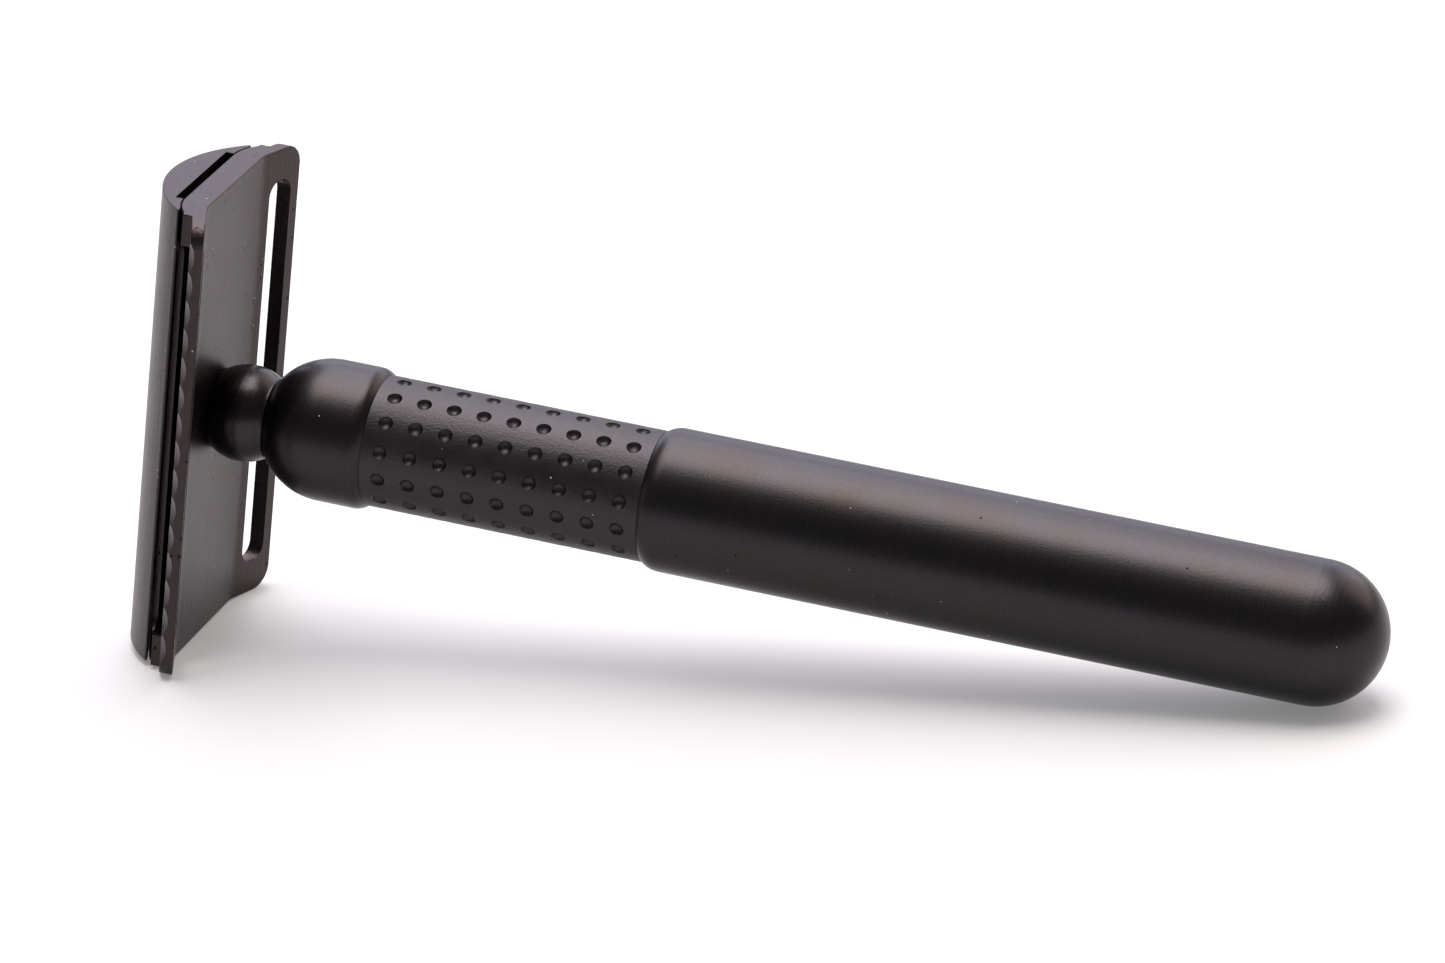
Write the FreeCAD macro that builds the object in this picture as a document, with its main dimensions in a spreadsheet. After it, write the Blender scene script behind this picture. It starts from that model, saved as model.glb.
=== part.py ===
import FreeCAD, Part
import math
import os
from types import SimpleNamespace

import Sketcher
from FreeCAD import Placement, Rotation, Vector

# A double-edge safety razor that comes apart into a cap, a base plate and a handle.
#
# Each sub-part is modelled about the handle's axis: X runs from the head to the tip of the handle,
# Y across the head from guard to guard, and Z along the blade. At the end every sub-part is laid down
# the way the razor rests on a shelf: on the lower end of its head and on the round tip of its handle.
# The origin is then on the shelf, under the middle of the razor, with Z up.

# Driving dimensions, in millimetres and degrees.
SIZES = {
    # Head: along the blade, and from guard edge to guard edge.
    "head_length": 43.0,
    "guard_span": 25.0,
    # Base plate. Half widths are measured from the handle's axis.
    "plate_thickness": 2.5,
    "crown_flat_half": 6.0,
    "crown_radius": 5.8,
    "crown_half": 9.4,
    "block_half": 9.87,
    "block_edge_drop": 1.22,
    "block_length": 3.0,
    "support_half": 9.2,
    "support_lip": 0.12,
    "undercut_half": 7.0,
    "slot_half": 8.4,
    "wing_root": 0.45,
    "face_half": 7.13,
    "wing_drop": 1.7,
    "guard_thickness": 1.25,
    "guard_bar": 1.15,
    "slot_end_land": 2.95,
    "wing_corner_radius": 2.0,
    "wing_bend_radius": 3.0,
    "plate_edge_radius": 0.12,
    # Scallops along the guard edge, each a cylindrical cut tilted outwards.
    "scallop_pitch": 2.65,
    "scallop_radius": 3.5,
    "scallop_depth": 0.345,
    "scallop_tilt": 45.0,
    "scallop_margin": 1.5,
    # Cap. The channel under it takes the end tabs of the blade.
    "cap_width": 18.8,
    "cap_rise": 3.55,
    "cap_radius": 12.6,
    "cap_channel_half": 6.4,
    "cap_channel_depth": 0.8,
    "cap_clamp_half": 8.5,
    "cap_edge_radius": 0.12,
    "cap_end_radius": 0.08,
    "blade_gap": 0.1,
    # Threaded stud and the two pins that line the blade up, all pressed into the cap.
    "stud_radius": 2.45,
    "stud_seat_depth": 2.0,
    "stud_reach": 7.8,
    "stud_tip_chamfer": 0.5,
    "stud_hole_clearance": 0.25,
    "pin_radius": 1.5,
    "pin_seat_depth": 1.5,
    "pin_reach": 1.6,
    "pin_spacing": 27.0,
    "pin_clearance": 0.15,
    "pin_end_clearance": 0.2,
    "pin_chamfer": 0.3,
    # Neck and collar.
    "neck_ball_radius": 4.35,
    "neck_ball_centre": 2.65,
    "neck_crease_radius": 0.3,
    "collar_step": 0.495,
    "collar_centre": 10.6,
    "collar_length": 15.2,
    "collar_shoulder": 1.6,
    "thread_clearance": 0.05,
    "neck_thread_depth": 8.6,
    "neck_mouth_chamfer": 0.35,
    # Joints inside the handle.
    "rod_radius": 2.5,
    "rod_start": 10.0,
    "rod_chamfer": 0.4,
    "rod_slot_width": 1.0,
    "rod_slot_depth": 1.2,
    "spigot_radius": 4.25,
    "spigot_length": 4.0,
    "spigot_clearance": 0.05,
    "seal_groove_radius": 3.5,
    "seal_groove_width": 1.0,
    # Grip sleeve with its rings of dimples.
    "grip_radius": 5.875,
    "grip_length": 25.7,
    "grip_bore_clearance": 0.25,
    "grip_edge_chamfer": 0.05,
    "dimple_radius": 0.66,
    "dimple_depth": 0.42,
    "dimple_rim_radius": 0.07,
    "dimple_pitch": 2.766,
    "dimple_margin": 1.5,
    "dimples_per_ring": 14,
    # Barrel and the plug that joins it to the rod.
    "barrel_step": 0.545,
    "barrel_length": 66.1,
    "barrel_shoulder": 2.3,
    "barrel_bore_radius": 4.6,
    "barrel_bore_depth": 54.0,
    "drill_point_angle": 59.0,
    "plug_length": 10.0,
    "plug_chamfer": 0.4,
    "rod_end_gap": 2.0,
}


class Size:
    """A value in millimetres that also carries the spreadsheet expression it comes from."""

    def __init__(self, value, text=None):
        self.value = float(value)
        self.text = text or repr(self.value)

    def _joined(self, sign, other, value):
        return Size(value, f"({self.text} {sign} {other.text})")

    def __add__(self, other):
        other = as_size(other)
        return self._joined("+", other, self.value + other.value)

    def __sub__(self, other):
        other = as_size(other)
        return self._joined("-", other, self.value - other.value)

    def __mul__(self, other):
        other = as_size(other)
        return self._joined("*", other, self.value * other.value)

    def __truediv__(self, other):
        other = as_size(other)
        return self._joined("/", other, self.value / other.value)

    def __neg__(self):
        return Size(-self.value, f"(0 - {self.text})")


def as_size(amount):
    return amount if isinstance(amount, Size) else Size(amount)


def root(amount):
    return Size(math.sqrt(amount.value), f"sqrt({amount.text})")


def tangent(angle):
    return Size(math.tan(math.radians(angle.value)), f"tan({angle.text})")


def half_chord(radius, distance):
    """Half the width of a circle at a distance from its centre."""
    return root(radius * radius - distance * distance)


def make_sheet(doc):
    sheet = doc.addObject("Spreadsheet::Sheet", "Sizes")
    for row, (alias, value) in enumerate(SIZES.items(), start=1):
        sheet.set(f"A{row}", alias)
        sheet.set(f"B{row}", str(value))
        sheet.setAlias(f"B{row}", alias)
    doc.recompute()
    return SimpleNamespace(**{alias: Size(sheet.get(alias), f"Sizes.{alias}") for alias in SIZES})


doc = FreeCAD.newDocument("safety_razor")
S = make_sheet(doc)
ZERO = Size(0.0)


# Features ------------------------------------------------------------------------------------------


def new_body(name):
    body = doc.addObject("PartDesign::Body", name)
    body.Label = name
    return body


def origin_feature(body, role):
    return next(item for item in body.Origin.OriginFeatures if item.Role == role)


def new_sketch(body, name, plane):
    sketch = body.newObject("Sketcher::SketchObject", name)
    sketch.AttachmentSupport = (origin_feature(body, plane), [""])
    sketch.MapMode = "FlatFace"
    return sketch


def bind(item, **amounts):
    """Set properties and tie each one to the sheet."""
    for name, amount in amounts.items():
        setattr(item, name, amount.value)
        item.setExpression(name, amount.text)


def hold(sketch, kind, *target, amount):
    """Add a dimension to a sketch and tie it to the sheet."""
    index = sketch.addConstraint(Sketcher.Constraint(kind, *target, amount.value))
    sketch.setExpression(f"Constraints[{index}]", amount.text)


def arc_between(start, end, radius, centre_on_left):
    """The shorter arc of a circle from start to end, as a counter-clockwise sketch arc."""
    chord = end - start
    middle = (start + end) * 0.5
    left = Vector(-chord.y, chord.x, 0).normalize()
    reach = math.sqrt(max(radius**2 - (chord.Length / 2) ** 2, 0.0))
    centre = middle + left * (reach if centre_on_left else -reach)
    first, last = (start, end) if centre_on_left else (end, start)
    angles = [math.atan2(point.y - centre.y, point.x - centre.x) for point in (first, last)]
    return Part.ArcOfCircle(Part.Circle(centre, Vector(0, 0, 1), radius), *angles)


def outline(body, name, plane, corners, arcs=None):
    """A closed outline through corners given as pairs of sizes.

    arcs maps the number of a side to (radius, True if its centre is on the left of the way round).
    A radius of None makes a half circle of a side that runs straight across.
    """
    arcs = arcs or {}
    sketch = new_sketch(body, name, plane)
    points = [Vector(across.value, up.value, 0) for across, up in corners]
    ends = []
    for side, start in enumerate(points):
        end = points[(side + 1) % len(points)]
        if side in arcs:
            radius, centre_on_left = arcs[side]
            reach = radius.value if radius else (end - start).Length / 2
            line = arc_between(start, end, reach, centre_on_left)
            ends.append((1, 2) if centre_on_left else (2, 1))
        else:
            line = Part.LineSegment(start, end)
            ends.append((1, 2))
        sketch.addGeometry(line, False)
    for side, (across, up) in enumerate(corners):
        before = (side - 1) % len(corners)
        sketch.addConstraint(Sketcher.Constraint("Coincident", before, ends[before][1], side, ends[side][0]))
        hold(sketch, "DistanceX", -1, 1, side, ends[side][0], amount=across)
        hold(sketch, "DistanceY", -1, 1, side, ends[side][0], amount=up)
        if side in arcs and arcs[side][0]:
            hold(sketch, "Radius", side, amount=arcs[side][0])
        elif side in arcs:
            hold(sketch, "DistanceY", -1, 1, side, 3, amount=up)
    return sketch


def circle(body, name, plane, centre, radius):
    sketch = new_sketch(body, name, plane)
    at = Vector(centre[0].value, centre[1].value, 0)
    sketch.addGeometry(Part.Circle(at, Vector(0, 0, 1), radius.value), False)
    hold(sketch, "DistanceX", -1, 1, 0, 3, amount=centre[0])
    hold(sketch, "DistanceY", -1, 1, 0, 3, amount=centre[1])
    hold(sketch, "Radius", 0, amount=radius)
    return sketch


def pad(body, name, sketch, length):
    feature = body.newObject("PartDesign::Pad", name)
    feature.Profile = sketch
    feature.SideType = "Symmetric"
    bind(feature, Length=length)
    return feature


def pocket(body, name, sketch, depth, both_ways=False, backwards=False):
    """Cut a sketch out of the body, and make sure that it took material away."""
    doc.recompute()
    before = body.Shape.Volume
    feature = body.newObject("PartDesign::Pocket", name)
    feature.Profile = sketch
    if both_ways:
        feature.SideType = "Symmetric"
    feature.Reversed = backwards
    bind(feature, Length=depth)
    doc.recompute()
    if not body.Shape.Volume < before:
        raise RuntimeError(f"{name} cuts nothing")
    return feature


def revolve(body, name, sketch):
    feature = body.newObject("PartDesign::Revolution", name)
    feature.Profile = sketch
    feature.ReferenceAxis = (sketch, ["H_Axis"])
    feature.Angle = 360.0
    return feature


def mirror(body, name, feature, plane):
    copy = body.newObject("PartDesign::Mirrored", name)
    copy.Originals = [feature]
    copy.MirrorPlane = (origin_feature(body, plane), [""])
    body.Tip = copy
    doc.recompute()
    return copy


def row(body, name, axis, count, length):
    """A step of a repeated feature: evenly spaced along an axis of the body."""
    step = body.newObject("PartDesign::LinearPattern", name)
    step.Direction = (origin_feature(body, axis), [""])
    step.Occurrences = count
    bind(step, Length=length)
    return step


def ring(body, name, axis, count):
    """A step of a repeated feature: evenly spaced round an axis of the body."""
    step = body.newObject("PartDesign::PolarPattern", name)
    step.Axis = (origin_feature(body, axis), [""])
    step.Angle = 360.0
    step.Occurrences = int(count.value)
    step.setExpression("Occurrences", count.text)
    return step


def reflection(body, name, plane):
    """A step of a repeated feature: its mirror image in a plane of the body."""
    step = body.newObject("PartDesign::Mirrored", name)
    step.MirrorPlane = (origin_feature(body, plane), [""])
    return step


def repeat(body, name, feature, steps):
    pattern = body.newObject("PartDesign::MultiTransform", name)
    pattern.Originals = [feature]
    pattern.Transformations = steps
    body.Tip = pattern
    doc.recompute()
    return pattern


def round_edges(body, name, chosen, radius):
    """Round every edge whose two ends and middle all pass the test."""
    doc.recompute()
    base = body.Tip
    edges = [
        f"Edge{number}"
        for number, edge in enumerate(base.Shape.Edges, start=1)
        if all(chosen(point) for point in edge.discretize(3))
    ]
    if not edges:
        raise RuntimeError(f"{name} finds no edge")
    feature = body.newObject("PartDesign::Fillet", name)
    feature.Base = (base, edges)
    bind(feature, Radius=radius)
    doc.recompute()
    return feature


def near(value, size):
    return abs(abs(value) - size.value) < 1e-4


def groove_corners(middle, outer):
    """The four corners of a seal groove in a spigot of that radius, in order along X."""
    front = middle - S.seal_groove_width / 2
    back = middle + S.seal_groove_width / 2
    return [(front, outer), (front, S.seal_groove_radius), (back, S.seal_groove_radius), (back, outer)]


# Head ----------------------------------------------------------------------------------------------

half_length = S.head_length / 2
half_span = S.guard_span / 2
crown = -S.plate_thickness


def crown_depth(half_width, radius):
    """How far the curved crown, of that radius, has dropped from its flat at a half width."""
    return S.crown_radius - half_chord(radius, half_width - S.crown_flat_half)


def scallop_count():
    """As many whole scallops as fit on the guard."""
    return int((S.head_length.value - 2 * S.scallop_margin.value) / S.scallop_pitch.value)


def make_base_plate():
    """Crowned plate with an end block at each end, and a slotted wing with a scalloped guard each side.

    X = 0 is its flat face towards the handle.
    """
    body = new_body("base_plate")
    guard_top = S.wing_drop - S.guard_thickness
    right = [
        (crown, S.crown_flat_half),
        (crown + crown_depth(S.crown_half, S.crown_radius), S.crown_half),
        (crown + S.block_edge_drop, S.block_half),
        (-S.wing_root, S.block_half),
        (guard_top, half_span),
        (S.wing_drop, half_span),
        (ZERO, S.face_half),
    ]
    left = [(along, -across) for along, across in reversed(right)]
    last = len(right) + len(left) - 2
    section = outline(
        body, "plate_section", "XY_Plane", right + left,
        arcs={0: (S.crown_radius, False), last: (S.crown_radius, False)},
    )
    pad(body, "plate_pad", section, S.head_length)
    doc.recompute()

    # Between the end blocks a lather channel runs in over the wing and under the lip that holds the blade.
    wing_slope = (guard_top + S.wing_root) / (half_span - S.block_half)
    wing_at_undercut = -S.wing_root - wing_slope * (S.block_half - S.undercut_half)
    wing_past_tip = guard_top + wing_slope
    lip = crown + crown_depth(S.support_half, S.crown_radius) + S.support_lip
    channel = outline(
        body, "channel_section", "XY_Plane",
        [
            (crown - 1, S.support_half),
            (crown - 1, half_span + 1),
            (wing_past_tip, half_span + 1),
            (wing_at_undercut, S.undercut_half),
            (lip, S.support_half),
        ],
    )
    cut = pocket(body, "channel", channel, S.head_length - S.block_length * 2, both_ways=True)
    mirror(body, "channels", cut, "XZ_Plane")

    # Long slot through each wing, with rounded ends, that lather is rinsed out of.
    slot_out = half_span - S.guard_bar
    slot_end = half_length - S.slot_end_land - (slot_out - S.slot_half) / 2
    slot = outline(
        body, "slot_shape", "YZ_Plane",
        [
            (S.slot_half, -slot_end),
            (slot_out, -slot_end),
            (slot_out, slot_end),
            (S.slot_half, slot_end),
        ],
        arcs={0: (None, True), 2: (None, True)},
    )
    cut = pocket(body, "slot", slot, S.head_length, both_ways=True)
    mirror(body, "slots", cut, "XZ_Plane")

    # Hole for the stud, and blind pockets for the two pins.
    hole = circle(body, "stud_hole_shape", "YZ_Plane", (ZERO, ZERO), S.stud_radius + S.stud_hole_clearance)
    pocket(body, "stud_hole", hole, S.plate_thickness * 4, both_ways=True)
    pin_pocket_radius = S.pin_radius + S.pin_clearance
    blind = circle(body, "pin_pocket_shape", "YZ_Plane", (ZERO, S.pin_spacing / 2), pin_pocket_radius)
    blind.AttachmentOffset = Placement(Vector(0, 0, crown.value), Rotation())
    blind.setExpression("AttachmentOffset.Base.z", crown.text)
    cut = pocket(body, "pin_pocket", blind, S.pin_reach + S.pin_end_clearance, backwards=True)
    mirror(body, "pin_pockets", cut, "XY_Plane")

    round_edges(
        body, "wing_corners",
        lambda point: near(point.y, half_span) and near(point.z, half_length),
        S.wing_corner_radius,
    )
    round_edges(
        body, "wing_bends",
        lambda point: near(point.x, ZERO) and near(point.y, S.face_half),
        S.wing_bend_radius,
    )
    round_edges(body, "plate_ends", lambda point: near(point.z, half_length), S.plate_edge_radius)
    cut_scallops(body, guard_top)
    return body


def cut_scallops(body, guard_top):
    """A row of shallow tilted cuts along the outer edge of each guard."""
    cutter = body.newObject("PartDesign::SubtractiveCylinder", "scallop")
    count = scallop_count()
    first = S.scallop_pitch * ((1 - count) / 2)
    reach = S.guard_thickness * 2
    tilt = math.radians(S.scallop_tilt.value)
    lift = S.scallop_radius - S.scallop_depth
    # The cylinder's axis leans outwards, and lies above the guard edge by all but the depth of the cut.
    along = Vector(math.cos(tilt), math.sin(tilt), 0)
    above = Vector(-math.sin(tilt), math.cos(tilt), 0)
    edge = Vector(guard_top.value, half_span.value, first.value)
    start = edge + above * lift.value - along * reach.value
    bind(cutter, Radius=S.scallop_radius, Height=reach * 2)
    cutter.Placement = Placement(start, Rotation(Vector(0, 0, 1), along))
    doc.recompute()
    length = S.scallop_pitch * (count - 1)
    steps = [row(body, "scallop_row", "Z_Axis", count, length), reflection(body, "other_guard", "XZ_Plane")]
    repeat(body, "scallops", cutter, steps)


def make_top_cap():
    """Arched cap with a channel under it. X = 0 is the plane of the base plate's crown."""
    body = new_body("top_cap")
    half_width = S.cap_width / 2
    tip = S.cap_radius - S.cap_rise - half_chord(S.cap_radius, half_width)
    clamp_radius = S.crown_radius + S.blade_gap
    right = [
        (tip, half_width),
        (crown_depth(S.cap_clamp_half, clamp_radius), S.cap_clamp_half),
        (crown_depth(S.cap_channel_half, clamp_radius), S.cap_channel_half),
        (-S.cap_channel_depth, S.cap_channel_half),
    ]
    left = [(along, -across) for along, across in reversed(right)]
    last = len(right) + len(left) - 1
    section = outline(
        body, "cap_section", "XY_Plane", right + left,
        arcs={1: (clamp_radius, True), last - 2: (clamp_radius, True), last: (S.cap_radius, False)},
    )
    pad(body, "cap_pad", section, S.head_length)

    seat = circle(body, "stud_seat_shape", "YZ_Plane", (ZERO, ZERO), S.stud_radius)
    pocket(body, "stud_seat", seat, S.cap_channel_depth + S.stud_seat_depth)
    seat = circle(body, "pin_seat_shape", "YZ_Plane", (ZERO, S.pin_spacing / 2), S.pin_radius)
    cut = pocket(body, "pin_seat", seat, S.cap_channel_depth + S.pin_seat_depth)
    mirror(body, "pin_seats", cut, "XY_Plane")
    round_edges(body, "cap_edges", lambda point: near(point.y, half_width), S.cap_edge_radius)
    arch_centre = Vector(S.cap_radius.value - S.cap_rise.value, 0, 0)
    round_edges(
        body, "cap_ends",
        lambda point: near(point.z, half_length)
        and near(math.hypot(point.x - arch_centre.x, point.y), S.cap_radius),
        S.cap_end_radius,
    )
    return body


def make_cap_stud():
    """Threaded stud that the handle screws on to. X = 0 is the plane of the base plate's crown."""
    body = new_body("cap_stud")
    foot = -(S.cap_channel_depth + S.stud_seat_depth)
    tip = S.plate_thickness + S.stud_reach
    profile = outline(
        body, "stud_profile", "XY_Plane",
        [
            (foot, ZERO),
            (foot, S.stud_radius),
            (tip - S.stud_tip_chamfer, S.stud_radius),
            (tip, S.stud_radius - S.stud_tip_chamfer),
            (tip, ZERO),
        ],
    )
    revolve(body, "stud_turning", profile)
    return body


def make_locating_pins():
    """The two pins that pass through the blade and into the base plate, as one group."""
    foot = -(S.cap_channel_depth + S.pin_seat_depth)
    pins = []
    for name, side in (("upper_pin", 1), ("lower_pin", -1)):
        blank = doc.addObject("Part::Cylinder", name + "_blank")
        bind(blank, Radius=S.pin_radius, Height=S.pin_reach - foot)
        blank.Placement = Placement(
            Vector(foot.value, 0, side * S.pin_spacing.value / 2), Rotation(Vector(0, 1, 0), 90)
        )
        doc.recompute()
        pin = doc.addObject("Part::Chamfer", name)
        pin.Base = blank
        pin.Edges = [
            (number, S.pin_chamfer.value, S.pin_chamfer.value)
            for number, edge in enumerate(blank.Shape.Edges, start=1)
            if len(edge.Vertexes) == 1 and edge.Vertexes[0].Point.x > S.pin_reach.value - 1e-4
        ]
        pins.append(pin)
    group = doc.addObject("Part::Compound", "locating_pins")
    group.Label = "locating_pins"
    group.Links = pins
    doc.recompute()
    return group


# Handle --------------------------------------------------------------------------------------------

spigot_end = S.collar_length + S.spigot_length
grip_back = S.collar_length + S.grip_length
counterbore_radius = S.spigot_radius + S.spigot_clearance
collar_radius = S.grip_radius + S.collar_step
barrel_radius = S.grip_radius + S.barrel_step


def shoulder_run(shoulder_radius, step):
    """Length of a rounded shoulder that climbs a step and ends level."""
    return half_chord(shoulder_radius, shoulder_radius - step)


def make_neck_collar():
    """Ball neck and round collar turned from one bar. X = 0 seats on the base plate."""
    body = new_body("neck_collar")
    seat_radius = half_chord(S.neck_ball_radius, S.neck_ball_centre)
    apart = S.collar_centre - S.neck_ball_centre
    ball_part = S.neck_ball_radius * S.neck_ball_radius - collar_radius * collar_radius
    waist = (apart * apart + ball_part) / (apart * 2)
    waist_radius = half_chord(S.neck_ball_radius, waist)
    crease = S.neck_ball_centre + waist
    shoulder_start = S.collar_length - shoulder_run(S.collar_shoulder, S.collar_step)
    bore = S.stud_radius + S.thread_clearance
    mouth = bore + S.neck_mouth_chamfer
    spigot_corners = groove_corners(S.collar_length + S.spigot_length / 2, S.spigot_radius)
    profile = outline(
        body, "collar_profile", "XY_Plane",
        [
            (ZERO, mouth),
            (ZERO, seat_radius),
            (S.neck_ball_centre, S.neck_ball_radius),
            (crease, waist_radius),
            (S.collar_centre, collar_radius),
            (shoulder_start, collar_radius),
            (S.collar_length, S.grip_radius),
            (S.collar_length, S.spigot_radius),
            *spigot_corners,
            (spigot_end, S.spigot_radius),
            (spigot_end, S.rod_radius),
            (S.rod_start, S.rod_radius),
            (S.rod_start, ZERO),
            (S.neck_thread_depth, ZERO),
            (S.neck_thread_depth, bore),
            (S.neck_mouth_chamfer, bore),
        ],
        arcs={
            1: (S.neck_ball_radius, False),
            2: (S.neck_ball_radius, False),
            3: (collar_radius, False),
            5: (S.collar_shoulder, False),
        },
    )
    revolve(body, "collar_turning", profile)
    round_edges(body, "neck_crease", lambda point: near(point.x, crease), S.neck_crease_radius)
    return body


def make_grip_sleeve():
    """Sleeve with rings of round dimples. X = 0 is its front face."""
    body = new_body("grip_sleeve")
    bore = S.rod_radius + S.grip_bore_clearance
    counterbore_depth = S.spigot_length + S.spigot_clearance
    edge = S.grip_edge_chamfer
    profile = outline(
        body, "grip_profile", "XY_Plane",
        [
            (ZERO, counterbore_radius),
            (ZERO, S.grip_radius - edge),
            (edge, S.grip_radius),
            (S.grip_length - edge, S.grip_radius),
            (S.grip_length, S.grip_radius - edge),
            (S.grip_length, counterbore_radius),
            (S.grip_length - counterbore_depth, counterbore_radius),
            (S.grip_length - counterbore_depth, bore),
            (counterbore_depth, bore),
            (counterbore_depth, counterbore_radius),
        ],
    )
    revolve(body, "grip_turning", profile)
    cut_dimples(body)
    return body


def cut_dimples(body):
    """Round dimples with a rounded rim, in rings evenly spaced along the sleeve."""
    rings = int((S.grip_length.value - 2 * S.dimple_margin.value) / S.dimple_pitch.value) + 1
    first = (S.grip_length - S.dimple_pitch * (rings - 1)) / 2
    ball = (S.dimple_radius * S.dimple_radius + S.dimple_depth * S.dimple_depth) / (S.dimple_depth * 2)
    # The rim's arc meets both the ball and the surface of the sleeve without an edge.
    rise = ball - S.dimple_depth + S.dimple_rim_radius
    rim = half_chord(ball + S.dimple_rim_radius, rise)
    share = ball / (ball + S.dimple_rim_radius)
    bottom = S.grip_radius - S.dimple_depth
    profile = outline(
        body, "dimple_profile", "XZ_Plane",
        [
            (ZERO, bottom),
            (rim * share, bottom + ball - rise * share),
            (rim, S.grip_radius),
            (rim, S.grip_radius + 1),
            (ZERO, S.grip_radius + 1),
        ],
        arcs={0: (ball, True), 1: (S.dimple_rim_radius, False)},
    )
    profile.AttachmentOffset = Placement(Vector(first.value, 0, 0), Rotation())
    profile.setExpression("AttachmentOffset.Base.x", first.text)
    cutter = body.newObject("PartDesign::Groove", "dimple")
    cutter.Profile = profile
    cutter.ReferenceAxis = (profile, ["V_Axis"])
    cutter.Angle = 360.0
    doc.recompute()
    steps = [
        ring(body, "dimple_ring", "X_Axis", S.dimples_per_ring),
        row(body, "dimple_rings", "X_Axis", rings, S.dimple_pitch * (rings - 1)),
    ]
    repeat(body, "dimples", cutter, steps)


def make_core_rod():
    """Threaded rod that pulls the collar, the sleeve and the plug together. X = 0 is its front end."""
    body = new_body("core_rod")
    length = grip_back + S.plug_length - S.rod_end_gap - S.rod_start
    chamfer = S.rod_chamfer
    profile = outline(
        body, "rod_profile", "XY_Plane",
        [
            (ZERO, ZERO),
            (ZERO, S.rod_radius - chamfer),
            (chamfer, S.rod_radius),
            (length - chamfer, S.rod_radius),
            (length, S.rod_radius - chamfer),
            (length, ZERO),
        ],
    )
    revolve(body, "rod_turning", profile)
    slot = outline(
        body, "driver_slot_shape", "XY_Plane",
        [
            (length - S.rod_slot_depth, -S.rod_slot_width / 2),
            (length + 1, -S.rod_slot_width / 2),
            (length + 1, S.rod_slot_width / 2),
            (length - S.rod_slot_depth, S.rod_slot_width / 2),
        ],
    )
    pocket(body, "driver_slot", slot, S.rod_radius * 4, both_ways=True)
    return body


def make_seal(name):
    """O-ring that fills the gap between a spigot's groove and the sleeve's counterbore."""
    ring = doc.addObject("Part::Torus", name)
    ring.Label = name
    bind(
        ring,
        Radius1=(S.seal_groove_radius + counterbore_radius) / 2,
        Radius2=(counterbore_radius - S.seal_groove_radius) / 2,
    )
    return ring


def make_barrel_plug():
    """Plug that screws into the barrel and on to the rod. X = 0 is the barrel's front face."""
    body = new_body("barrel_plug")
    chamfer = S.plug_chamfer
    profile = outline(
        body, "plug_profile", "XY_Plane",
        [
            (-S.spigot_length, S.rod_radius),
            (-S.spigot_length, S.spigot_radius),
            *groove_corners(-S.spigot_length / 2, S.spigot_radius),
            (ZERO, S.spigot_radius),
            (ZERO, S.barrel_bore_radius),
            (S.plug_length - chamfer, S.barrel_bore_radius),
            (S.plug_length, S.barrel_bore_radius - chamfer),
            (S.plug_length, S.rod_radius),
        ],
    )
    revolve(body, "plug_turning", profile)
    return body


def make_barrel():
    """Hollow barrel with a round tip, deep drilled from its open front. X = 0 is its front face."""
    body = new_body("barrel")
    drill_tip = S.barrel_bore_depth + S.barrel_bore_radius / tangent(S.drill_point_angle)
    profile = outline(
        body, "barrel_profile", "XY_Plane",
        [
            (ZERO, S.barrel_bore_radius),
            (ZERO, S.grip_radius),
            (shoulder_run(S.barrel_shoulder, S.barrel_step), barrel_radius),
            (S.barrel_length - barrel_radius, barrel_radius),
            (S.barrel_length, ZERO),
            (drill_tip, ZERO),
            (S.barrel_bore_depth, S.barrel_bore_radius),
        ],
        arcs={1: (S.barrel_shoulder, False), 3: (barrel_radius, False)},
    )
    revolve(body, "barrel_turning", profile)
    return body


# The razor at rest ---------------------------------------------------------------------------------


def lean_angle():
    """How far the handle slopes down, in degrees, when the razor rests on its head and its tip."""
    inset = half_span.value - S.wing_corner_radius.value
    slope = S.wing_drop.value / (half_span.value - S.face_half.value)
    foot_x = (inset - S.face_half.value) * slope
    tip_x = grip_back.value + S.barrel_length.value - barrel_radius.value
    reach = math.hypot(tip_x - foot_x, half_length.value)
    return math.degrees(
        math.atan2(half_length.value, tip_x - foot_x) - math.asin(barrel_radius.value / reach)
    )


def lay_down(items):
    """Slope every sub-part as it rests, and move the origin to the shelf under the razor's middle."""
    lean = Placement(Vector(), Rotation(Vector(0, 1, 0), lean_angle()))
    places = {}
    for item, forward, turn in items:
        places[item] = lean * Placement(Vector(forward.value, 0, 0), turn)
        item.Placement = places[item]
    doc.recompute()
    box = FreeCAD.BoundBox()
    for item, _, _ in items:
        box.add(item.Shape.optimalBoundingBox(False))
    shift = Placement(Vector(-box.Center.x, 0, -box.ZMin), Rotation())
    for item, place in places.items():
        item.Placement = shift * place
    doc.recompute()


def write_parts(items):
    """Refuse anything failed, empty or invalid, then write one STEP file for each sub-part."""
    for item in doc.Objects:
        if {"Invalid", "Error"} & set(item.State):
            raise RuntimeError(f"{item.Label} failed: {item.State}")
    for item in items:
        if item.Shape.isNull() or not item.Shape.isValid() or not item.Shape.Solids:
            raise RuntimeError(f"{item.Label} has no valid solid")
    os.makedirs("parts", exist_ok=True)
    for item in items:
        item.Shape.exportStep(f"parts/{item.Label}.step")
        print(f"{item.Label}: {len(item.Shape.Solids)} solid, {item.Shape.Volume:.1f} mm3")


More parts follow.
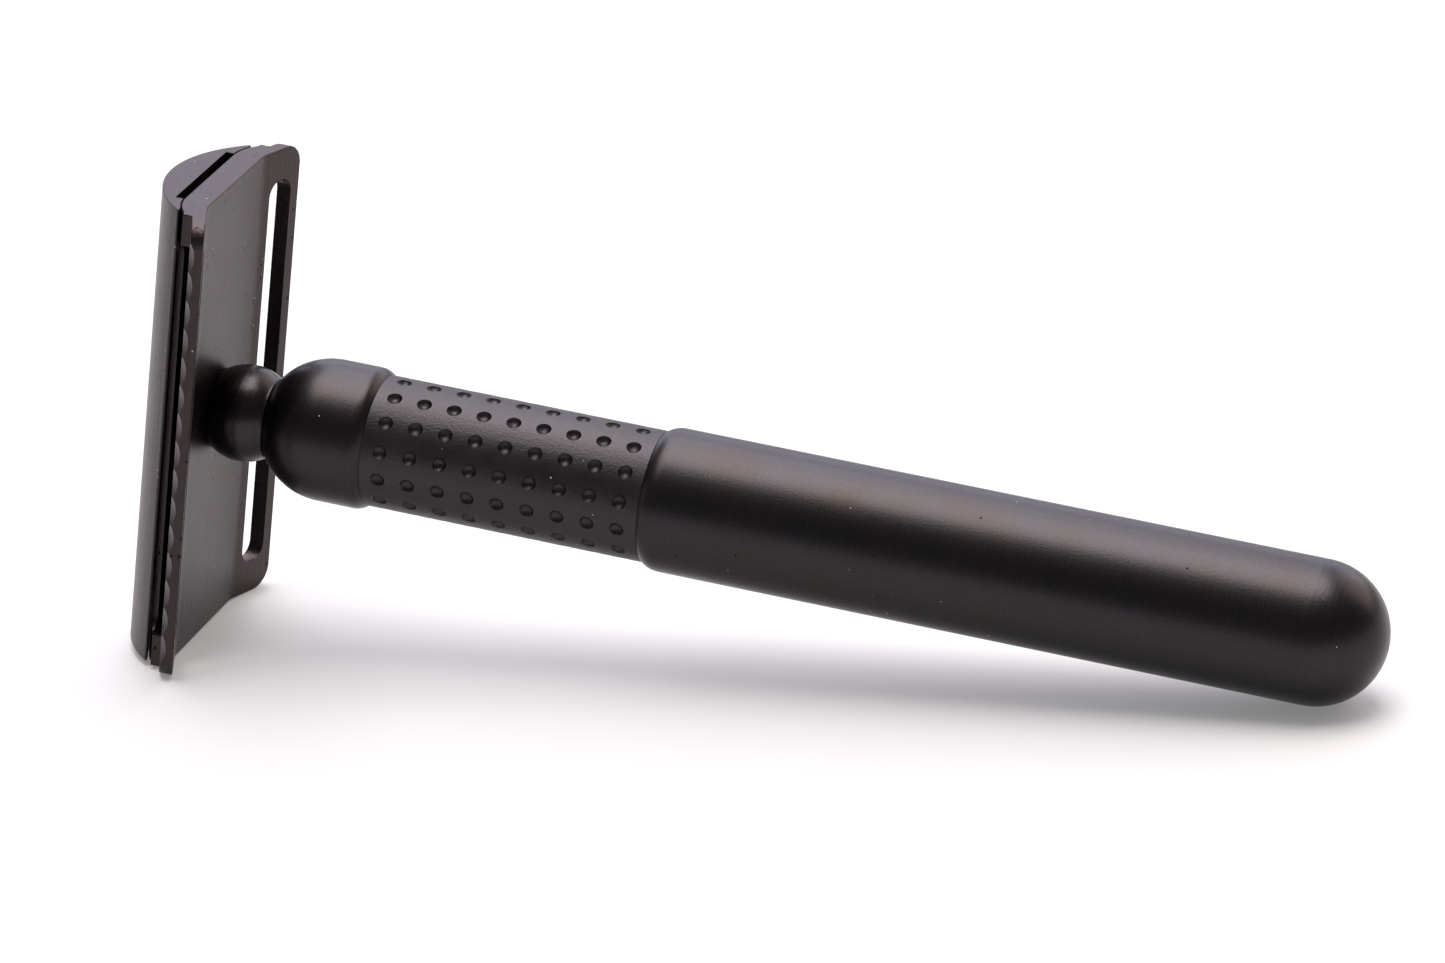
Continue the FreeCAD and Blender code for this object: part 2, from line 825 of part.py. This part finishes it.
straight = Rotation()
across_axis = Rotation(Vector(0, 1, 0), 90)
seal_offset = S.spigot_length / 2
razor = [
    (make_top_cap(), crown, straight),
    (make_cap_stud(), crown, straight),
    (make_locating_pins(), crown, straight),
    (make_base_plate(), ZERO, straight),
    (make_neck_collar(), ZERO, straight),
    (make_seal("front_seal"), S.collar_length + seal_offset, across_axis),
    (make_grip_sleeve(), S.collar_length, straight),
    (make_core_rod(), S.rod_start, straight),
    (make_seal("rear_seal"), grip_back - seal_offset, across_axis),
    (make_barrel_plug(), grip_back, straight),
    (make_barrel(), grip_back, straight),
]
lay_down(razor)
write_parts([item for item, _, _ in razor])
print(f"handle slopes {lean_angle():.3f} degrees")
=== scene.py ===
import math

import bmesh
import bpy
from mathutils import Matrix, Vector


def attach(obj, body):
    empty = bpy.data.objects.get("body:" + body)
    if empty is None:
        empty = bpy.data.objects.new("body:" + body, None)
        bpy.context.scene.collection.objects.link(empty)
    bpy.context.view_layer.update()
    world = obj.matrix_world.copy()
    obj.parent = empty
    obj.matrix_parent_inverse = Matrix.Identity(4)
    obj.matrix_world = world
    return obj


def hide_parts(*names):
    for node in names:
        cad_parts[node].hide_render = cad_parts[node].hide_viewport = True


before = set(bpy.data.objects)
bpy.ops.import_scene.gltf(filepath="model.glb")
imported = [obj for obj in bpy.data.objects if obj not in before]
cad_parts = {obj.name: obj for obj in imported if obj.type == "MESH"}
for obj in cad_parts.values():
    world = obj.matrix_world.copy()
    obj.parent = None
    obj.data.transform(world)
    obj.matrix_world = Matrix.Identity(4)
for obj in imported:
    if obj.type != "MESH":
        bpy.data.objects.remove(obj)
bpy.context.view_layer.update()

# A black double-edge safety razor lying on a pale studio floor, on the lower end of its head and on
# the round tip of its handle. Everything is in metres: X runs along the razor towards the tip of
# the handle, Y across it, Z up from the floor.

MM = 0.001

# The handle's axis: where it meets the base plate, and how steeply it slopes down to the tip. A
# material's places are in millimetres along and across this axis, from the base plate.
SEAT = Vector((-48.349, 0, 21.4187)) * MM
HANDLE_SLOPE = math.radians(8.576)
razor_axis = Matrix.Translation(SEAT) @ Matrix.Rotation(HANDLE_SLOPE, 4, "Y")

# The stud, with stations along the handle's axis from the base plate's flat face. Its thread is M5,
# with a root half a thread's depth under the handle's own threads.
STUD_FOOT = -5.3 * MM
STUD_TIP = 7.8 * MM
STUD_RADIUS = 2.45 * MM
STUD_ROOT_RADIUS = 1.96 * MM
STUD_TIP_RADIUS = 1.7 * MM
STUD_CHAMFER = 0.5 * MM
STUD_RUN_OUT = 0.4 * MM
STUD_PLAIN_END = -2.9 * MM
THREAD_PITCH = 0.8 * MM
THREAD_STEPS = 40
MERGE_DISTANCE = 0.01 * MM
CUT_TOLERANCE = 0.001 * MM
SMOOTH_BELOW = math.radians(25)

# Where the camera stands, what it looks at, how far it is rolled, and its lens.
CAMERA_PLACE = Vector((217.137, -667.428, 273.577)) * MM
CAMERA_TARGET = Vector((-1.775, 0.0, 17.116)) * MM
CAMERA_ROLL = math.radians(-3.12)
FOCAL_LENGTH = 213.28
SENSOR_WIDTH = 36.0

# The line of sight runs this far anticlockwise from +Y, as seen from above.
SIGHT_LINE = math.atan2(CAMERA_PLACE.x - CAMERA_TARGET.x, CAMERA_TARGET.y - CAMERA_PLACE.y)

# The floor, and the light that the room gives next to the lamps. To the camera the room is white.
FLOOR_HALF_WIDTH = 8.0
FLOOR_GLOW = 0.2
ROOM_LIGHT = 0.17
ROOM_SEEN = 1.0


# Materials ----------------------------------------------------------------------------------------

# The noise texture hardly leaves this range.
NOISE_LOW, NOISE_HIGH = 0.3, 0.7

# Patterns, in grains a millimetre along the handle's axis, across it and up. The rings' are along the
# axis and out from it.
BLASTED_GRAIN = (5, 5, 5)
LATHE_RINGS = (5, 5, 5)
CUTTER_STREAKS = (3.0, 3.0, 0.15)
BLASTED_MOTTLE = (0.6, 0.6, 0.6)
WIPED_CLOUDS = (0.17, 0.17, 0.17)
MOULD_MOTTLE = (3.0, 3.0, 3.0)
FINGER_MARK_EDGE = 1.3

# How far the coat's patterns go: how much they darken or lighten it, roughen it, and stand out from
# it or go into it in millimetres.
CLOUD_STRENGTH = 0.45
GRAIN_SHADE = 0.12
LINE_SHADE = (0.92, 1.08)
LINE_ROUGHNESS = 0.04
GREASE_ROUGHNESS = (-0.02, 0.03)
POLISH_ROUGHNESS = -0.06
PIT_DEPTH = 0.03
DUST_HEIGHT = 0.05
# The pits' colour is painted shade: darker than the coat, for the shade inside the pits.
PIT_SHADE_COLOUR = "#121111"
DUST_COLOUR = "#c2bdb6"


def paint(code):
    """The linear colour, with alpha, of an sRGB hex value."""
    parts = [int(code[i:i + 2], 16) / 255 for i in (1, 3, 5)]
    linear = [p / 12.92 if p <= 0.04045 else ((p + 0.055) / 1.055) ** 2.4 for p in parts]
    return (*linear, 1.0)


def add(tree, kind, sockets, **settings):
    """Add a node with its settings. Each socket gets a value, or a link from an output or a node."""
    node = tree.nodes.new("ShaderNode" + kind)
    for name, value in settings.items():
        setattr(node, name, value)
    for socket, value in sockets.items():
        if isinstance(value, bpy.types.Node):
            value = next(output for output in value.outputs if output.enabled)
        if isinstance(value, bpy.types.NodeSocket):
            tree.links.new(value, node.inputs[socket])
        else:
            node.inputs[socket].default_value = value
    return node


def new_tree(name):
    """An empty material, and its node tree."""
    material = bpy.data.materials.new(name)
    material.use_nodes = True
    material.node_tree.nodes.clear()
    return material, material.node_tree


def along_handle(tree):
    """Object coordinates in millimetres, with X along the handle's axis from the base plate."""
    place = add(tree, "TexCoord", {}).outputs["Object"]
    sockets = {"Vector": place, "Location": SEAT, "Rotation": (0, HANDLE_SLOPE, 0),
               "Scale": (MM, MM, MM)}
    return add(tree, "Mapping", sockets, vector_type="TEXTURE")


def grains(tree, place, per_mm, detail):
    """A pattern from 0 to 1 with so many grains a millimetre along each axis."""
    stretched = add(tree, "Mapping", {"Vector": place, "Scale": per_mm})
    noise = add(tree, "TexNoise", {"Vector": stretched, "Scale": 1.0, "Detail": detail})
    return add(tree, "MapRange", {"Value": noise, "From Min": NOISE_LOW, "From Max": NOISE_HIGH})


def turned_rings(tree, place):
    """The rings a lathe leaves round the handle's axis. They are really 0.05 mm apart, and are drawn
    0.2 mm apart so that they show."""
    across = add(tree, "VectorMath", {0: place, 1: (0, 1, 1)}, operation="MULTIPLY")
    radius = add(tree, "VectorMath", {0: across}, operation="LENGTH").outputs["Value"]
    along = add(tree, "SeparateXYZ", {"Vector": place}).outputs["X"]
    return grains(tree, add(tree, "CombineXYZ", {"X": along, "Y": radius}), LATHE_RINGS, 3.0)


def milled_streaks(tree, place):
    """The streaks a cutter leaves along the head, drawn four times as coarse as they are."""
    return grains(tree, place, CUTTER_STREAKS, 3.0)


def soft_mottle(tree, place):
    """The uneven density of a bead-blasted surface, some 2 mm across."""
    return grains(tree, place, BLASTED_MOTTLE, 3.0)


def specks(tree, place, spacing, radius, share):
    """Scattered round specks, 1 inside and 0 outside. They lie in space, spacing mm apart and up to
    radius mm in size, only a share of them is there, and the surface cuts through few of those."""
    cells = add(tree, "TexVoronoi", {"Vector": place, "Scale": 1 / spacing})
    chance = add(tree, "SeparateColor", {"Color": cells.outputs["Color"]})
    there = add(tree, "Math", {0: chance.outputs[0], 1: share}, operation="LESS_THAN")
    largest = radius / spacing
    size = add(tree, "MapRange", {"Value": chance.outputs[1], "To Min": 0.5 * largest,
                                  "To Max": largest})
    reach = add(tree, "Math", {0: cells.outputs["Distance"], 1: size}, operation="DIVIDE")
    inside = add(tree, "MapRange", {"Value": reach, "From Min": 0.5, "From Max": 1.0,
                                    "To Min": 1.0, "To Max": 0.0})
    return add(tree, "Math", {0: inside, 1: there}, operation="MULTIPLY")


def finger_mark(tree, place, centre, radius):
    """A faint patch, strongest in the middle and 0 outside, with an uneven edge, left by a finger."""
    away = add(tree, "VectorMath", {0: place, 1: centre}, operation="DISTANCE")
    edge = add(tree, "TexNoise", {"Vector": place, "Scale": FINGER_MARK_EDGE, "Detail": 5.0,
                                  "Roughness": 0.7})
    uneven = add(tree, "Math", {0: edge, 1: 3.0 * radius, 2: away}, operation="MULTIPLY_ADD")
    return add(tree, "MapRange", {"Value": uneven, "From Min": 1.2 * radius, "From Max": 3.0 * radius,
                                  "To Min": 1.0, "To Max": 0.0})


def black_coat(name, colour, warm, roughness, grain_depth, tool_lines, line_depth, shaded_pits, dust,
               marks=(), polished_end=None):
    """Black vacuum coat, a fraction of a hair thick, on stainless steel. It copies the steel's grain
    and the tool's lines, which gives a dark satin metal with a soft streaky highlight. Handling leaves
    a warmer, greasier cloud here and there, a few pits with painted shade in them, and grains of dust.

    The pits and the dust are each (spacing, radius, share) of their specks, and marks are (centre,
    radius) of the places where a finger touched. Up to polished_end along the axis, the steel was
    polished first.
    """
    material, tree = new_tree(name)
    place = along_handle(tree)
    # Blasting leaves grains of about 0.05 mm, which are drawn 0.2 mm across so that they show.
    fine = grains(tree, place, BLASTED_GRAIN, 2.0)
    lines = tool_lines(tree, place)
    # Faint clouds some 6 mm across, where the coat was wiped, and stronger marks where it was touched.
    clouds = grains(tree, place, WIPED_CLOUDS, 4.0)
    greased = add(tree, "Math", {0: clouds, 1: CLOUD_STRENGTH}, operation="MULTIPLY")
    for centre, radius in marks:
        mark = finger_mark(tree, place, centre, radius)
        greased = add(tree, "Math", {0: greased, 1: mark}, operation="MAXIMUM")
    # Pits and dust are really some 0.1 mm across, and are drawn two to five times as wide so that they
    # show. The pits are also painted darker than the coat: painted shade, for the shade inside them.
    shaded_pits = specks(tree, place, *shaded_pits)
    dust = specks(tree, place, *dust)

    coat = add(tree, "Mix", {"Factor": greased, 6: paint(colour), 7: paint(warm)}, data_type="RGBA")
    shade = add(tree, "MapRange", {"Value": lines, "To Min": LINE_SHADE[0], "To Max": LINE_SHADE[1]})
    shade = add(tree, "Math", {0: fine, 1: GRAIN_SHADE, 2: shade}, operation="MULTIPLY_ADD")
    coat = add(tree, "VectorMath", {0: coat, "Scale": shade}, operation="SCALE")
    # Painted shade: the pits are painted darker than the coat, for the shade inside them.
    pit_shaded = add(tree, "Mix", {"Factor": shaded_pits, 6: coat, 7: paint(PIT_SHADE_COLOUR)}, data_type="RGBA")
    dusty = add(tree, "Mix", {"Factor": dust, 6: pit_shaded, 7: paint(DUST_COLOUR)}, data_type="RGBA")
    metal = add(tree, "Math", {0: 1.0, 1: dust}, operation="SUBTRACT")

    satin = add(tree, "MapRange", {"Value": greased, "To Min": roughness + GREASE_ROUGHNESS[0],
                                   "To Max": roughness + GREASE_ROUGHNESS[1]})
    satin = add(tree, "Math", {0: lines, 1: LINE_ROUGHNESS, 2: satin}, operation="MULTIPLY_ADD")
    if polished_end is not None:
        # The polish fades out over 2 mm.
        axes = add(tree, "SeparateXYZ", {"Vector": place})
        polish = add(tree, "MapRange", {"Value": axes.outputs["X"], "From Min": polished_end - 0.5,
                                        "From Max": polished_end + 1.5,
                                        "To Min": POLISH_ROUGHNESS, "To Max": 0.0})
        satin = add(tree, "Math", {0: satin, 1: polish}, operation="ADD")
    rough = add(tree, "Math", {0: satin, 1: dust}, operation="MAXIMUM")

    relief = add(tree, "Math", {0: fine, 1: grain_depth}, operation="MULTIPLY")
    relief = add(tree, "Math", {0: lines, 1: line_depth, 2: relief}, operation="MULTIPLY_ADD")
    relief = add(tree, "Math", {0: shaded_pits, 1: -PIT_DEPTH, 2: relief}, operation="MULTIPLY_ADD")
    relief = add(tree, "Math", {0: dust, 1: DUST_HEIGHT, 2: relief}, operation="MULTIPLY_ADD")
    normal = add(tree, "Bump", {"Height": relief, "Distance": MM})
    shader = add(tree, "BsdfPrincipled", {"Base Color": dusty, "Metallic": metal, "Roughness": rough,
                                          "Normal": normal})
    add(tree, "OutputMaterial", {"Surface": shader})
    return material


def turned_steel():
    """Stainless steel, turned and left bare inside: bright, with fine rings left by the tool."""
    material, tree = new_tree("turned_stainless_steel")
    rings = turned_rings(tree, along_handle(tree))
    rough = add(tree, "MapRange", {"Value": rings, "To Min": 0.22, "To Max": 0.34})
    normal = add(tree, "Bump", {"Height": rings, "Strength": 0.5, "Distance": 0.002 * MM})
    shader = add(tree, "BsdfPrincipled", {"Base Color": paint("#b9b5ae"), "Metallic": 1.0,
                                          "Roughness": rough, "Normal": normal})
    add(tree, "OutputMaterial", {"Surface": shader})
    return material


def seal_rubber():
    """Moulded black nitrile rubber: dull, with the soft mottle of its mould."""
    material, tree = new_tree("moulded_nitrile_rubber")
    mottle = grains(tree, along_handle(tree), MOULD_MOTTLE, 3.0)
    rough = add(tree, "MapRange", {"Value": mottle, "To Min": 0.5, "To Max": 0.66})
    normal = add(tree, "Bump", {"Height": mottle, "Strength": 0.5, "Distance": 0.01 * MM})
    shader = add(tree, "BsdfPrincipled", {"Base Color": paint("#151515"), "Roughness": rough,
                                          "Normal": normal})
    add(tree, "OutputMaterial", {"Surface": shader})
    return material


finishes = {
    "coated_head": black_coat(
        "satin_black_coated_head", "#3b3435", "#3d3633", 0.36, grain_depth=0.014,
        tool_lines=milled_streaks, line_depth=0.008, shaded_pits=(1.2, 0.24, 0.65), dust=(1.25, 0.11, 0.5)),
    "coated_handle": black_coat(
        "satin_black_coated_handle", "#343335", "#38312d", 0.34, grain_depth=0.004,
        tool_lines=turned_rings, line_depth=0.0015, shaded_pits=(2.6, 0.16, 0.5), dust=(2.2, 0.11, 0.5),
        marks=[((59, -4.2, 4.8), 2.2), ((57.5, -5.6, -3.2), 1.8)], polished_end=6.0),
    "blasted_grip": black_coat(
        "bead_blasted_black_grip", "#3c3a3c", "#3e3b3a", 0.44, grain_depth=0.012,
        tool_lines=soft_mottle, line_depth=0.004, shaded_pits=(1.6, 0.14, 0.5), dust=(1.6, 0.12, 0.6)),
    "bare_steel": turned_steel(),
    "seal_rubber": seal_rubber(),
}
pieces_by_slot = {
    "coated_head": ["top_cap", "base_plate"],
    "coated_handle": ["neck_collar", "barrel"],
    "blasted_grip": ["grip_sleeve"],
    "bare_steel": ["locating_pins", "core_rod", "barrel_plug"],
    "seal_rubber": ["front_seal", "rear_seal"],
}
for slot, names in pieces_by_slot.items():
    for name in names:
        for material_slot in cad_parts[name].material_slots:
            material_slot.material = finishes[slot]


# The stud ------------------------------------------------------------------------------------------


def threaded_stud():
    """The stud in the cap: a plain seat, then a rolled right-hand thread as far as its tip."""
    shape = bmesh.new()
    # The outline of one turn, as (share of the pitch, radius).
    ridge = [(0.0, STUD_ROOT_RADIUS), (0.1, STUD_ROOT_RADIUS), (0.44, STUD_RADIUS), (0.56, STUD_RADIUS),
             (0.9, STUD_ROOT_RADIUS), (1.0, STUD_ROOT_RADIUS)]
    start = STUD_PLAIN_END - THREAD_PITCH
    turns = math.ceil((STUD_TIP - start) / THREAD_PITCH) + 1
    corners = [shape.verts.new((start + along * THREAD_PITCH, 0, radius)) for along, radius in ridge]
    edges = [shape.edges.new(pair) for pair in zip(corners, corners[1:])]
    bmesh.ops.spin(
        shape, geom=corners + edges, cent=(0, 0, 0), axis=(1, 0, 0), angle=2 * math.pi * turns,
        dvec=(THREAD_PITCH / THREAD_STEPS, 0, 0), steps=THREAD_STEPS * turns, use_merge=False,
    )
    bmesh.ops.remove_doubles(shape, verts=shape.verts, dist=MERGE_DISTANCE)
    # Each end: where the thread is cut off, then rings as (station, radius), then a flat face. The
    # thread runs out to the seat's full size, and its tip has a chamfer.
    seat = [(STUD_PLAIN_END - STUD_RUN_OUT, STUD_RADIUS), (STUD_FOOT, STUD_RADIUS)]
    tip = [(STUD_TIP, STUD_TIP_RADIUS)]
    for cut, side, rings in ((STUD_PLAIN_END, -1, seat), (STUD_TIP - STUD_CHAMFER, 1, tip)):
        cut_off = bmesh.ops.bisect_plane(
            shape, geom=shape.verts[:] + shape.edges[:] + shape.faces[:], dist=CUT_TOLERANCE,
            plane_co=(cut, 0, 0), plane_no=(side, 0, 0), clear_outer=True,
        )
        rim = [edge for edge in cut_off["geom_cut"] if isinstance(edge, bmesh.types.BMEdge)]
        for station, radius in rings:
            grown = bmesh.ops.extrude_edge_only(shape, edges=rim)["geom"]
            rim = [edge for edge in grown if isinstance(edge, bmesh.types.BMEdge) and edge.is_boundary]
            for corner in {corner for edge in rim for corner in edge.verts}:
                across = Vector((0, corner.co.y, corner.co.z)).normalized() * radius
                corner.co = Vector((station, 0, 0)) + across
        bmesh.ops.holes_fill(shape, edges=rim, sides=0)
    bmesh.ops.recalc_face_normals(shape, faces=shape.faces)
    bmesh.ops.transform(shape, matrix=razor_axis, verts=shape.verts)
    mesh = bpy.data.meshes.new("threaded_stud")
    shape.to_mesh(mesh)
    shape.free()
    mesh.shade_smooth()
    mesh.set_sharp_from_angle(angle=SMOOTH_BELOW)
    mesh.materials.append(finishes["bare_steel"])
    stud = bpy.data.objects.new("threaded_stud", mesh)
    bpy.context.collection.objects.link(stud)
    return stud


stud = threaded_stud()
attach(stud, "cap")
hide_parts("cap_stud")


# Studio -------------------------------------------------------------------------------------------


def softbox(name, turn, height, distance, width, length, radiance, colour):
    """A rectangular lamp facing the razor, which the camera sees only reflected.

    It stands behind the razor, turned clockwise from the line of sight as seen from above, at a
    height in degrees above the floor. Its radiance is that of its face, in watts per square metre
    and steradian.
    """
    lamp = bpy.data.lights.new(name, "AREA")
    lamp.shape = "RECTANGLE"
    lamp.size = width
    lamp.size_y = length
    lamp.energy = radiance * math.pi * width * length
    lamp.color = paint(colour)[:3]
    holder = bpy.data.objects.new(name, lamp)
    bpy.context.collection.objects.link(holder)
    tilt = Matrix.Rotation(SIGHT_LINE - math.radians(turn), 4, "Z") @ Matrix.Rotation(
        math.radians(height - 90), 4, "X")
    holder.matrix_world = tilt @ Matrix.Translation((0, 0, distance))
    holder.visible_camera = False


def studio_floor():
    """A sheet of white acrylic, lit from below as well, so that nothing on it throws a hard shadow."""
    mesh = bpy.data.meshes.new("studio_floor")
    shape = bmesh.new()
    bmesh.ops.create_grid(shape, x_segments=1, y_segments=1, size=FLOOR_HALF_WIDTH)
    shape.to_mesh(mesh)
    shape.free()
    floor = bpy.data.objects.new("studio_floor", mesh)
    bpy.context.collection.objects.link(floor)
    # Cast acrylic with a frosted face: smooth, matt and even, with no pattern of its own to see.
    material, tree = new_tree("backlit_white_acrylic")
    shader = add(tree, "BsdfPrincipled", {
        "Base Color": paint("#c0c2c1"), "Roughness": 0.7,
        "Emission Color": paint("#fffdfe"), "Emission Strength": FLOOR_GLOW})
    add(tree, "OutputMaterial", {"Surface": shader})
    mesh.materials.append(material)


studio_floor()
softbox("overhead_softbox", turn=0, height=82, distance=2.0, width=1.38, length=1.42,
        radiance=7.4, colour="#fff7f7")
softbox("rear_softbox", turn=0, height=50, distance=2.0, width=0.92, length=0.9,
        radiance=5.2, colour="#f6f2ff")
softbox("rear_wall", turn=0, height=22, distance=2.4, width=3.4, length=1.1,
        radiance=1.75, colour="#ecebff")
softbox("left_wall", turn=-65, height=18, distance=2.4, width=2.4, length=0.8,
        radiance=0.9, colour="#f8f0ff")
softbox("left_top", turn=-90, height=66, distance=2.4, width=1.6, length=0.7,
        radiance=2.1, colour="#fff6f8")
softbox("right_wall", turn=55, height=32, distance=2.4, width=1.9, length=1.8,
        radiance=2.2, colour="#ffe8e0")

world = bpy.data.worlds.new("studio_room")
bpy.context.scene.world = world
world.use_nodes = True
room = world.node_tree
room.nodes.clear()
# The room itself gives little light, but the camera sees it as white as the floor.
ray = add(room, "LightPath", {})
strength = add(room, "MapRange", {"Value": ray.outputs["Is Camera Ray"], "To Min": ROOM_LIGHT,
                                  "To Max": ROOM_SEEN})
light = add(room, "Background", {"Color": paint("#faf6ff"), "Strength": strength})
add(room, "OutputWorld", {"Surface": light})

camera = bpy.data.objects.new("camera", bpy.data.cameras.new("camera"))
bpy.context.collection.objects.link(camera)
level = (CAMERA_TARGET - CAMERA_PLACE).to_track_quat("-Z", "Y").to_matrix().to_4x4()
camera.matrix_world = (
    Matrix.Translation(CAMERA_PLACE) @ level @ Matrix.Rotation(CAMERA_ROLL, 4, "Z")
)
camera.data.sensor_width = SENSOR_WIDTH
camera.data.lens = FOCAL_LENGTH
camera.data.clip_start = 0.01
bpy.context.scene.camera = camera
bpy.context.scene.view_settings.view_transform = "Standard"
